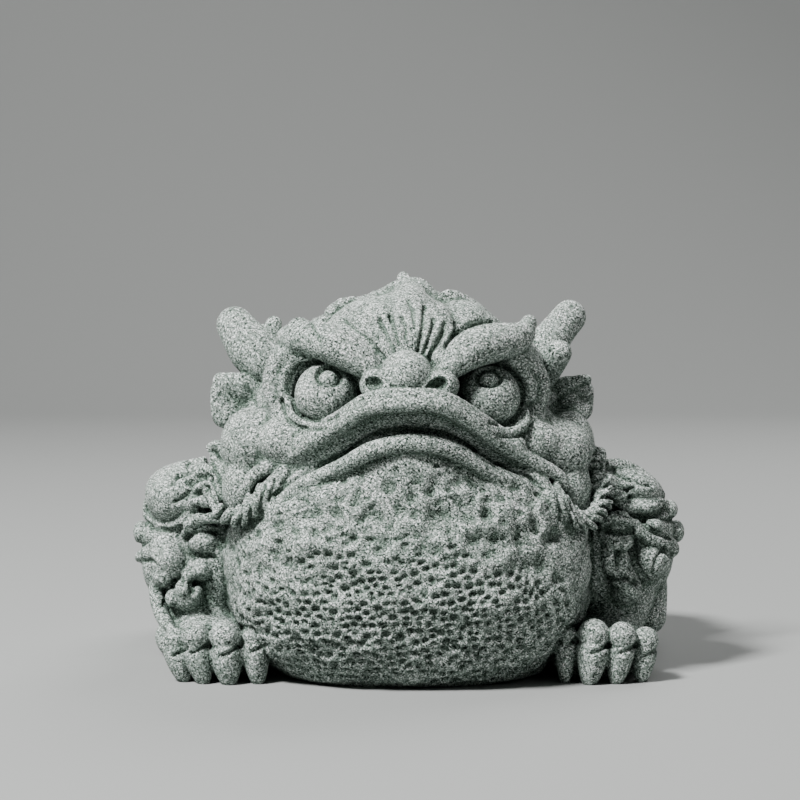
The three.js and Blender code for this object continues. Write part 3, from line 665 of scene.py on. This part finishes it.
def on_mass(mass, azimuth, elevation):
    """A place on an egg-shaped mass. The azimuth counts from its back, and both are in degrees."""
    azimuth, elevation = math.radians(azimuth), math.radians(elevation)
    level = math.cos(elevation)
    way = (math.sin(azimuth) * level, math.cos(azimuth) * level, math.sin(elevation))
    reach = sum(abs(part) ** mass["fullness"] for part in way) ** (1 / mass["fullness"])
    return [c + part / reach * r for c, part, r in zip(mass["centre"], way, mass["radii"])]


for mass, rows, smallest in ((BACK, BACK_WARTS, 1.3), (HAUNCH, HAUNCH_WARTS, 0.7)):
    for azimuth, elevations in rows:
        for elevation in elevations:
            for side in SIDES if azimuth or mass is HAUNCH else (1,):
                half = (smallest + elevation / GROWS_EVERY) * dice.uniform(0.7, 1.2)
                swayed = azimuth + dice.uniform(-SWAY, SWAY), elevation + dice.uniform(-SWAY, SWAY)
                x, y, z = on_mass(mass, *swayed)
                x, y, z = on_side(side, (x, y, z - 0.35 * half))
                lump(figure, (x, y, z), (half * 1.2, half * 1.2, half), rings=10)

# All of it is fused into one skin and cut flat underneath, as the clay original was sliced off
# its board with a wire.
figure = fused(figure, voxel=FINEST, softening=2)
flat = bmesh.new()
flat.from_mesh(figure)
bmesh.ops.bisect_plane(flat, geom=flat.verts[:] + flat.edges[:] + flat.faces[:], dist=1e-6,
                       plane_co=(0, 0, low[2]), plane_no=(0, 0, -1), clear_outer=True)
cut_edge = [edge for edge in flat.edges if edge.is_boundary]
bmesh.ops.triangulate(flat, faces=bmesh.ops.contextual_create(flat, geom=cut_edge)["faces"])
flat.to_mesh(figure)
flat.free()

# The carved lines of the mouth, toes, rope, tufts, brows, ears, lids and crest, pressed into the
# soft clay with a modelling tool. Each runs along the skin where its points are seen from in
# front, and has a half width and a depth.


def kept_by(vertices, what):
    """What each of a mesh's vertices keeps under a name, its place or its normal, in a row."""
    numbers = np.empty(3 * len(vertices))
    vertices.foreach_get(what, numbers)
    return numbers.reshape(-1, 3)


def finder_of(spots):
    """Finds which of the spots lie near a place."""
    finder = KDTree(len(spots))
    for index, spot in enumerate(spots):
        finder.insert(spot, index)
    finder.balance()
    return finder


VIEWER = camera.location / HUNDREDTH
skin = kept_by(figure.vertices, "co") / HUNDREDTH
facing = kept_by(figure.vertices, "normal")
uncarved = surface_of(figure)
nearby = finder_of(skin)
raised = np.zeros(len(skin))


def touched(point, seen_from=VIEWER):
    """The place where a look from one spot through a point meets the skin."""
    way = (Vector(point) - seen_from).normalized()
    hit = uncarved.ray_cast(seen_from * HUNDREDTH, way)[0]
    return hit / HUNDREDTH if hit else None


def press(spots, half, depth):
    """Presses a groove of one depth along a row of places, round in section."""
    pressed = {}
    for spot in spots:
        for _, index, distance in nearby.find_range(spot, half):
            amount = (1 - (distance / half) ** 2) ** 2
            pressed[index] = max(pressed.get(index, 0), amount)
    for index, amount in pressed.items():
        raised[index] -= depth * amount


def groove(points, half, depth):
    """Presses a groove along a smooth line through the points, as they are seen from in front."""
    spots = [touched(spot) for spot, _ in smooth_path([(*point, half) for point in points], 0.2)]
    press([spot for spot in spots if spot], half, depth)


MOUTH = ((-31.7, -40, 45.9), (-25.5, -44, 51.2), (-20.6, -46, 53.6), (-14.6, -48, 56.4), (-8.6, -51, 60.9),
         (-3.9, -52.6, 62.4), (0.9, -53, 62.8), (8, -52.6, 61.9), (13.9, -50, 58.9), (20, -47, 54.5),
         (24.9, -45, 52.4), (29.8, -43, 50.3), (33, -40.6, 47.4))
groove(MOUTH, half=1, depth=1.3)

for side in SIDES:
    for (x, y, z, half), *_ in TOES[side]:
        groove(((x - half * 0.2, y - half, z - half * 1.05), (x + half * 0.4, y - half, z - half * 0.8),
                (x + half * 0.95, y - half, z - half * 0.45)), half=0.8, depth=1)

for turns in (LEFT_TURNS, RIGHT_TURNS):
    for pair in zip(turns, turns[1:]):
        line = []
        for share in (0, 0.25, 0.5, 0.75, 1):
            here, next_to_it = (Vector(turn[round(share * (len(turn) - 1))][:3]) for turn in pair)
            line.append((here + next_to_it) / 2)
        if (next_to_it - here).length < 5:
            groove(line, half=0.6, depth=0.8)

TUFT_CREASES = (
    ((-54.1, -24, 51.7), (-56.6, -24, 49.2), (-58.3, -24, 47.1)),
    ((-53.3, -24, 46.1), (-55.1, -24, 43.8), (-57.5, -24, 42.5)),
    ((52.5, -22, 49.4), (55.9, -22, 47.8), (60.9, -22, 46.5)),
    ((-57.2, -24, 49), (-54.4, -25, 49.6), (-52.2, -25, 51.5)),
    ((-53.9, -25, 46.9), (-51, -27, 48.4), (-48, -28, 49)),
    ((-52.6, -27, 44.5), (-50.1, -29, 45.5), (-48.7, -29, 47)),
    ((-51.8, -28, 41.6), (-49.7, -30, 41), (-48, -32, 41.2)),
    ((-67, -12, 37.3), (-63.7, -17, 35.3), (-59.6, -19, 34.8), (-56, -22, 36)),
    ((-54.2, -28, 34), (-52.3, -30, 35.4), (-49.8, -31, 36.2), (-47, -31, 36)),
    ((-53.5, -28, 27.8), (-51.9, -29, 29.8), (-49.1, -30, 29.9), (-47.1, -31, 29.5)),
    ((-65.2, -14, 35.2), (-64.4, -16, 32.9), (-68, -12, 29.4)),
    ((-66.5, -14, 26.3), (-64.4, -18, 27), (-62.6, -21, 26)),
    ((-55.9, -26, 21.8), (-55.3, -27, 25.1), (-53.5, -28, 26.7)),
    ((-60.1, -22, 20.3), (-59.9, -22, 18.1), (-60.7, -21, 16.3)),
    ((-59, -24, 21.7), (-57.5, -25, 22.7), (-55.4, -26, 22.6)),
    ((-53.6, -27, 22.3), (-52.9, -28, 20.6)),
    ((50.3, -24, 46.1), (53.6, -24, 44.9), (56.7, -22, 45.8)),
    ((50.7, -26, 42), (53.4, -26, 39.9), (58.5, -24, 38.4), (63.5, -20, 39.2), (65.4, -17, 41)),
    ((49.5, -29, 35.9), (52.4, -29, 35.7), (56.3, -27, 35.4)),
    ((50.4, -28, 24), (53, -28, 24.2), (54.8, -27, 23.8)),
    ((52.3, -28, 30.4), (52.3, -28, 27.2)),
    ((63.7, -26, 30.7), (62.3, -26, 28.6), (61.1, -26, 24.6)),
    ((59.1, -23, 37.9), (61.8, -21, 34.8), (66.8, -17, 32.5)),
    ((65, -17, 30), (66.7, -15, 28), (69.1, -12, 27.7)),
    ((64.5, -18, 37.8), (67.2, -14, 37), (69.1, -11, 37.3)),
    ((56.8, -25, 32.4), (57.5, -24, 26.9), (60.1, -22, 22.8)),
    ((56.3, -27, 36.2), (57, -26, 32.5), (55, -27, 30.5)),
)
for line in TUFT_CREASES:
    groove(line, half=1.3, depth=0.55)
    groove(line, half=0.6, depth=0.45)

BROW_CREASES = (
    ((-23, -40, 87.6), (-21.8, -40, 85.3), (-21, -40, 83.2)),
    ((-15.6, -40, 88.6), (-12.6, -42, 86.4), (-9.4, -44, 83.8), (-7, -46, 81.2), (-5.2, -48, 79)),
    ((7.6, -48, 78.6), (9.4, -46, 81.8), (12.4, -43, 85.4), (16.8, -40, 87.6), (21, -38, 88)),
)
EAR_HOLLOWS = (
    ((-45.8, -20, 71.9), (-43.7, -20, 69), (-40.9, -20, 66.2), (-38.4, -20, 64.1)),
    ((39, -20, 65.5), (41.8, -20, 66.2), (44.6, -20, 67.6)),
)
EAR_FOLDS = (
    ((-39.8, -20, 71.2), (-38.1, -20, 68), (-37.4, -20, 64.8)),
    ((36.2, -20, 65.9), (39.7, -20, 68.9), (42.8, -20, 70.8), (45.6, -20, 71.9)),
)
LID_CREASES = (
    ((-22.8, -41, 78.5), (-25.9, -40, 75.1), (-27, -39.6, 70.9), (-27, -40, 67.6), (-25.9, -42, 65.7),
     (-23.1, -44.5, 64.5), (-19.6, -46, 64.5), (-16.2, -47, 65.7)),
    ((24.6, -41, 76.4), (27.2, -40, 73.6), (28, -41, 69.7), (27.4, -42, 66.6), (25.6, -43, 64.3),
     (23.2, -44, 63.3), (20, -46, 64)),
)
LID_EDGES = (
    ((-30.2, -38, 69), (-29.4, -38, 66.4), (-28.7, -40, 64.3), (-25.9, -42, 62.6), (-22.4, -44, 62.2),
     (-19.4, -46, 62.4)),
    ((30.4, -40, 63.6), (28.8, -42, 61.2), (25.6, -44, 60.4), (21.8, -46, 60.9)),
)
for lines, half, depth in ((BROW_CREASES, 1.1, 0.9), (EAR_HOLLOWS, 3, 0.5), (EAR_FOLDS, 1.1, 0.5),
                           (LID_CREASES, 0.8, 0.8), (LID_EDGES, 0.9, 0.6)):
    for line in lines:
        groove(line, half, depth)

FAN = (
    (1.5, ((-6.5, -40, 88.7), (-5.2, -43, 85), (-3.1, -48, 80.7))),
    (1.3, ((-3.8, -40, 89.4), (-3.1, -42, 86.4), (-2.1, -44, 82.6))),
    (1, ((-1.1, -38, 89.1), (-0.2, -42, 86.4), (-0.4, -44, 84))),
    (1.1, ((0.4, -34, 93.4), (1.7, -37, 90.6), (2.2, -40, 86.6))),
    (1, ((4.5, -36, 91.5), (4.1, -40, 87), (2.8, -47, 81))),
    (0.8, ((6.6, -40, 88.6), (5.8, -42, 84.6), (4, -48, 80.4))),
    (0.7, ((9.2, -40, 87.6), (7.9, -42, 83.3), (5.3, -47, 80.1))),
)
for deep, line in FAN:
    groove(line, half=0.65 + 0.3 * deep, depth=deep)

PITS = ((41, 91.2), (39.1, 80.7), (29.8, 84.2), (38.2, 78.2), (35.4, 80), (-43.2, 90.4), (-41.5, 89.4),
        (-40.1, 87), (-14.6, 84.9), (-11.8, 82.8), (-26.3, 86.6))
for x, z in PITS:
    press([touched((x, -25, z))], half=0.7, depth=0.6)

# The throat's skin: soft swellings and hollows, thumbed into the clay, some shallow cups in its
# upper half, and close rows of small pores pricked with a point. A raised net is left between
# the pores, which are smaller and closer towards the ground.
DENTS = (
    ((-0.3, 45.4), 4, 0.9), ((7, 42), 5.6, 1.2), ((10, 40.8), 3.4, 1), ((6.1, 39.7), 2.6, 0.8),
    ((31, 29.7), 6.6, 1.3), ((25.2, 30.4), 3.6, 0.8), ((31.9, 31.3), 2.6, 0.7), ((35.6, 28.4), 2.4, 0.8),
    ((28, 38.7), 4.4, 1.1), ((35.6, 38.5), 3, 1), ((-14, 38.4), 5, 1.1), ((-9.5, 40.2), 3, 0.9),
    ((-6.6, 42), 2, 0.7), ((-30.7, 33.8), 4, 0.9), ((-26.7, 39.1), 2.2, 0.7), ((-23.1, 34.5), 2.4, 0.8),
    ((-21.6, 39.1), 2, 0.7), ((-16.4, 43.1), 2.4, 0.8), ((-12.7, 45.2), 1.9, 0.7), ((-4.3, 49.5), 2.2, 0.8),
    ((-0.9, 44.3), 2.4, 0.9), ((1.1, 46.6), 2, 0.7), ((5.4, 48.3), 2, 0.7), ((8.3, 45.7), 1.8, 0.7),
    ((12, 46), 2.2, 0.8), ((14.6, 51.2), 1.5, 0.6), ((18.7, 43.1), 2.6, 0.8), ((23.2, 46.6), 2, 0.6),
    ((29.6, 44.3), 1.8, 0.6), ((19.9, 33.6), 3, 0.9), ((15.8, 36.2), 2.4, 0.8), ((-22, 44), 3.2, 0.6),
    ((4, 35), 4, 0.7),
)
CUP_ROWS, CUP_SPACING = np.arange(32, 51, 3), 3.8
PORE_ROWS = np.arange(2, 56, 1.85)
NET_HEIGHT, NET_HALF = 0.3, 0.7


def limited(value):
    return min(1, max(0, value))


def share_of_throat(spot):
    """1 for a place on the throat's skin, falling to 0 at a small way off it."""
    off = throat_surface.find_nearest(Vector(spot) * HUNDREDTH)[3] / HUNDREDTH
    return limited(1.6 - 2 * off)


def uneven(spot, across, up, lift=0):
    """Smooth noise between -1 and 1, in patches of a width across and a height up."""
    x, y, z = spot
    return noise.noise((x / across, y / across, z / up + lift))


for (x, z), half, depth in DENTS:
    press([touched((x, -55, z))], half=1.15 * half, depth=0.85 * depth)

low_front = (np.abs(skin[:, 0]) < 47) & (skin[:, 1] < -18) & (skin[:, 2] < 62) & (facing[:, 1] < 0.3)
throat_skin = []
for index in np.flatnonzero(low_front):
    share = share_of_throat(skin[index])
    if share:
        throat_skin.append((index, share))
for index, share in throat_skin:
    spot = skin[index]
    swelling = 1.3 * uneven(spot, across=11, up=7, lift=0.4) + 0.5 * uneven(spot, across=4.4, up=3)
    dented = 1.25 * max(0, uneven(spot, across=4, up=3.2, lift=9) - 0.05)
    under_lip = min(1, (58 - spot[2]) / 12)
    raised[index] += share * (swelling - dented * limited((spot[2] - 24) / 8)) * under_lip

for row, level in enumerate(CUP_ROWS):
    for x in np.arange(-32, 38, CUP_SPACING):
        spot_x = x + CUP_SPACING / 2 * (row % 2) + dice.normal(0, 0.8)
        place = touched((spot_x, -60, level + dice.normal(0, 0.7)))
        if place and share_of_throat(place) == 1 and dice.random() < 0.5:
            half = dice.uniform(1.5, 2.9)
            press([place], half, depth=0.28 * half * (1 - ((level - 40) / 15) ** 2))

pores = []
for row, level in enumerate(PORE_ROWS):
    spacing = 2.25 + 0.015 * level
    for x in np.arange(-45, 45, spacing):
        spot = Vector((x + (row % 2) * spacing / 2, -60, level)) + Vector(dice.normal(0, 0.5, 3))
        place = touched(spot, seen_from=Vector((spot.x * 1.6, -400, 30)))
        likely = 0.95 - 0.85 * limited((level - 29 + 0.006 * (spot.x + 4) ** 2) / 10)
        if place and share_of_throat(place) == 1 and dice.random() < likely:
            pores.append(place)
for place in pores:
    size = dice.uniform(0.65, 1.3)
    prick = [place + Vector((shift, 0, 0.25 * shift * dice.uniform(-1, 1)))
             for shift in (-0.3 * size, 0, 0.3 * size)]
    fade = 1 - 0.4 * place.z / 50
    press(prick, half=0.84 * size, depth=1.05 * size * fade)
net = finder_of(pores)
for index, _ in throat_skin:
    (_, _, near), (_, _, far) = net.find_n(skin[index], 2)
    if near < 4:
        raised[index] += NET_HEIGHT * math.exp(-((far - near) / NET_HALF) ** 2)

# The rough skin of the crest, scratched with a comb along the way that its strands run, so that
# its furrows spread like a fan from a point inside the skull.
FAN_POINT = 72

on_crest = (skin[:, 2] > 80) & (np.abs(skin[:, 0]) < 24) & (skin[:, 1] > -44) & (skin[:, 1] < 5)
for index in np.flatnonzero(on_crest):
    x, y, z = skin[index]
    around, along = math.atan2(x, z - FAN_POINT), math.hypot(x, z - FAN_POINT)
    furrow = noise.noise((around * 11, along / 5, 3.1))
    furrow += 0.6 * noise.noise((around * 24, along / 3, 7.7))
    raised[index] += 0.4 * furrow * limited((98 - z) / 6)

# The casting itself: one closed piece of paste, poured in a mould of the carved figure. All that
# was carved moves the skin in or out, and fades away at the ground, so the underside stays flat.
FADE_HEIGHT = 2
MOST_TRIANGLES = 196000

raised *= np.clip(skin[:, 2] / FADE_HEIGHT, 0, 1)
skin += facing * raised[:, None]
figure.vertices.foreach_set("co", (skin * HUNDREDTH).ravel())
figure.update()
toad = put_in_scene("toad_casting", figure)
thinned = toad.modifiers.new("thin", "DECIMATE")
thinned.ratio = min(1, MOST_TRIANGLES / sum(len(face.vertices) - 2 for face in figure.polygons))
casting = as_modified(toad)
toad.modifiers.clear()
toad.data = casting
casting.shade_smooth()

# The hollows are marked on the casting, so that the paste can carry painted shade, darker and a little
# greener, in creases and hollows, and a painted highlight on the ridges: a place is hollow where the
# skin, evened out, would come to lie above it.
HOLLOW_SPAN = 0.4

spots = kept_by(casting.vertices, "co")
outward = kept_by(casting.vertices, "normal")
edge_ends = np.empty(2 * len(casting.edges), dtype=int)
casting.edges.foreach_get("vertices", edge_ends)
first_ends, second_ends = edge_ends.reshape(-1, 2).T


def summed(ends, values=None):
    """The sum of the values, or their number, at each place of the casting."""
    return np.bincount(ends, values, len(spots))


neighbours = summed(first_ends) + summed(second_ends)


def evened(values, passes):
    """Each place's value drawn halfway to the mean of its neighbours', pass after pass."""
    for _ in range(passes):
        total = summed(first_ends, values[second_ends]) + summed(second_ends, values[first_ends])
        values = 0.5 * values + 0.5 * total / neighbours
    return values


def mark(name, values):
    """Keeps a value from 0 to 1 for each place of the casting, for the paste to read."""
    attribute = casting.attributes.new(name, "FLOAT", "POINT")
    attribute.data.foreach_set("value", np.clip(values, 0, 1).astype(np.float32))


soft = np.stack([evened(spots[:, axis], 9) for axis in range(3)], axis=1)
hollow = evened(((soft - spots) * outward).sum(axis=1) / HUNDREDTH, 1)
mark("hollow", 0.5 + hollow / HOLLOW_SPAN)

# The sheltered places are marked too, so that the paste can carry painted shade where little of the
# sky is seen: under the lip, on undersides and in deep creases. A place is fully open where it sees all
# of the sky, and the ground shelters it as much as the figure itself does.
LOOKS = 32
LIFT = 0.12e-3
GRAZING = 0.08
SHELTER_REACH = 0.05

looks = []
for step in range(LOOKS):
    height = 1 - (2 * step + 1) / LOOKS
    if height > 0:
        turn_by = step * math.pi * (3 - math.sqrt(5))
        level = math.sqrt(1 - height * height)
        looks.append(Vector((math.cos(turn_by) * level, math.sin(turn_by) * level, height)))
carved = surface_of(casting)
seen = np.zeros(len(spots))
open_shares = outward @ np.array(looks).T
for index in range(len(spots)):
    start = Vector(spots[index] + outward[index] * LIFT)
    for look, share in zip(looks, open_shares[index]):
        if share > GRAZING and carved.ray_cast(start, look, SHELTER_REACH)[0] is None:
            seen[index] += share
mark("sky", evened(seen / (LOOKS / 4), 1))

# The paste: crushed green sandstone bound with clear resin and left matt. It is pale sage, with
# white, grey and dark green grains about a quarter of a millimetre across.
sandstone = bpy.data.materials.new("green_sandstone")
sandstone.use_nodes = True
nodes, wires = sandstone.node_tree.nodes, sandstone.node_tree.links
shader = nodes["Principled BSDF"]
shader.inputs["Roughness"].default_value = 0.92
shader.inputs["Specular IOR Level"].default_value = 0.25
place_on = nodes.new("ShaderNodeTexCoord")


def node(kind, **sockets):
    """A shader node with its sockets set or linked."""
    made = nodes.new("ShaderNode" + kind)
    for name, value in sockets.items():
        if isinstance(value, bpy.types.NodeSocket):
            wires.new(value, made.inputs[name])
        else:
            made.inputs[name].default_value = value
    return made


def ramp(value, stops):
    """The colour that a ramp with these stops gives for a value."""
    made = node("ValToRGB", Fac=value)
    while len(made.color_ramp.elements) < len(stops):
        made.color_ramp.elements.new(0.5)
    for element, (position, colour) in zip(made.color_ramp.elements, stops):
        element.position = position
        element.color = (*colour, 1)
    return made.outputs["Color"]


def tinted(colour, value, stops):
    """The colour, multiplied by what a ramp gives for a value."""
    tint = ramp(value, stops)
    made = nodes.new("ShaderNodeMix")
    made.data_type = "RGBA"
    made.blend_type = "MULTIPLY"
    factor, first, second = (made.inputs[number] for number in (0, 6, 7))
    factor.default_value = 1
    wires.new(colour, first)
    wires.new(tint, second)
    return made.outputs[2]


def marked(name):
    """The value that was marked on the casting under a name."""
    made = node("Attribute")
    made.attribute_name = name
    return made.outputs["Fac"]


where = place_on.outputs["Object"]
grains = node("TexVoronoi", Vector=where, Scale=4000)
grain_pick = node("SeparateColor", Color=grains.outputs["Color"])
fine = node("TexNoise", Vector=where, Scale=2200, Detail=2)
patches = node("TexNoise", Vector=where, Scale=90, Detail=3)

GRAIN_COLOURS = ((0, (0.008, 0.016, 0.011)), (0.17, (0.04, 0.065, 0.05)), (0.29, (0.22, 0.265, 0.235)),
                 (0.7, (0.32, 0.37, 0.34)), (0.82, (0.74, 0.79, 0.76)), (1, (1, 1, 1)))
FINE_TINTS = ((0.34, (0.78, 0.79, 0.78)), (0.66, (1.15, 1.15, 1.15)))
PATCH_TINTS = ((0.3, (0.92, 0.96, 0.93)), (0.7, (1.04, 1.03, 1.03)))
# Painted shade for the hollows and a painted highlight for the ridges.
HOLLOW_SHADE_RIDGE_HIGHLIGHT_TINTS = ((0.2, (1.22, 1.2, 1.21)), (0.5, (1, 1, 1)), (0.85, (0.5, 0.57, 0.52)))
# Painted shade for places that see little of the sky.
PAINTED_SKY_SHADE_TINTS = ((0.03, (0.26, 0.3, 0.275)), (0.18, (0.48, 0.52, 0.5)), (0.42, (0.86, 0.88, 0.87)),
                 (0.62, (1.04, 1.04, 1.04)))

colour = ramp(grain_pick.outputs["Red"], GRAIN_COLOURS)
colour = tinted(colour, fine.outputs["Fac"], FINE_TINTS)
colour = tinted(colour, patches.outputs["Fac"], PATCH_TINTS)
# Painted light: shade, slightly green, in the hollows and a highlight on the ridges.
colour = tinted(colour, marked("hollow"), HOLLOW_SHADE_RIDGE_HIGHLIGHT_TINTS)
# Painted shade where the sky is hidden: under the lip, on undersides and in deep creases.
colour = tinted(colour, marked("sky"), PAINTED_SKY_SHADE_TINTS)
wires.new(colour, shader.inputs["Base Color"])
gritty = node("Bump", Strength=0.55, Distance=0.22e-3, Height=grain_pick.outputs["Green"])
gritty = node("Bump", Strength=0.4, Distance=0.2e-3, Height=fine.outputs["Fac"],
              Normal=gritty.outputs["Normal"])
wires.new(gritty.outputs["Normal"], shader.inputs["Normal"])
casting.materials.clear()
casting.materials.append(sandstone)

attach(toad, "root")
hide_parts("money_toad")
